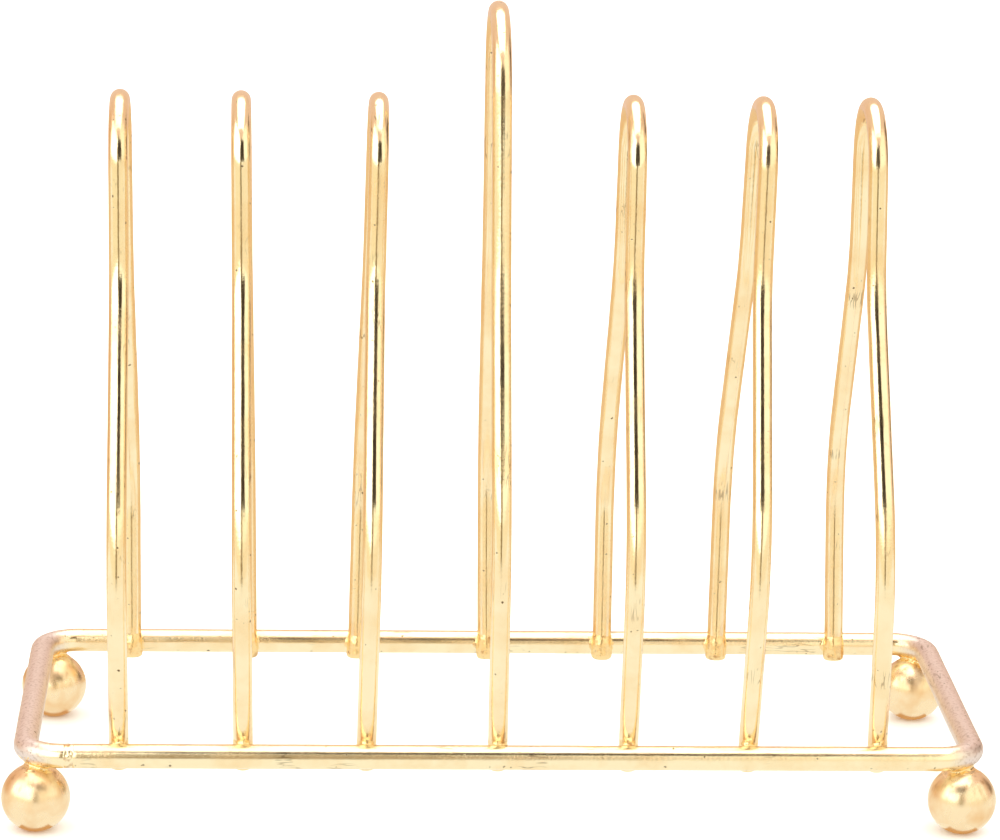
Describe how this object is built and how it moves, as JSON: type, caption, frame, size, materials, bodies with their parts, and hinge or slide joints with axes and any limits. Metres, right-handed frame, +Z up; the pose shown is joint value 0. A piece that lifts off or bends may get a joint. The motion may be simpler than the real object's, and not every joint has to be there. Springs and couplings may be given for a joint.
{
  "type": "toast rack",
  "caption": "Wire toast rack: bottle-shaped hoops brazed across a rectangular base frame on ball feet, with a taller middle hoop as carrying handle, gold-plated.",
  "frame": {"origin": "on the table, below the middle of the base frame", "axes": "+Z up, +X along the long side to the right, so that the slots follow each other along X; +Y from front to back"},
  "size_m": [0.2026, 0.0876, 0.1642],
  "materials": {
    "plated_wire": "polished",
    "plated_ball": "polished",
    "filler_metal": "satin"
  },
  "bodies": {
    "root": {"ball_foot_back_left": "plated_ball", "ball_foot_back_right": "plated_ball", "ball_foot_front_left": "plated_ball", "ball_foot_front_right": "plated_ball", "base_frame": "plated_wire", "braze_foot_back_left": "filler_metal", "braze_foot_back_right": "filler_metal", "braze_foot_front_left": "filler_metal", "braze_foot_front_right": "filler_metal", "braze_handle_hoop_back": "filler_metal", "braze_handle_hoop_front": "filler_metal", "braze_hoop_1_back": "filler_metal", "braze_hoop_1_front": "filler_metal", "braze_hoop_2_back": "filler_metal", "braze_hoop_2_front": "filler_metal", "braze_hoop_3_back": "filler_metal", "braze_hoop_3_front": "filler_metal", "braze_hoop_5_back": "filler_metal", "braze_hoop_5_front": "filler_metal", "braze_hoop_6_back": "filler_metal", "braze_hoop_6_front": "filler_metal", "braze_hoop_7_back": "filler_metal", "braze_hoop_7_front": "filler_metal", "frame_seam_weld": "filler_metal", "handle_hoop": "plated_wire", "hoop_1": "plated_wire", "hoop_2": "plated_wire", "hoop_3": "plated_wire", "hoop_5": "plated_wire", "hoop_6": "plated_wire", "hoop_7": "plated_wire"}
  },
  "joints": []
}
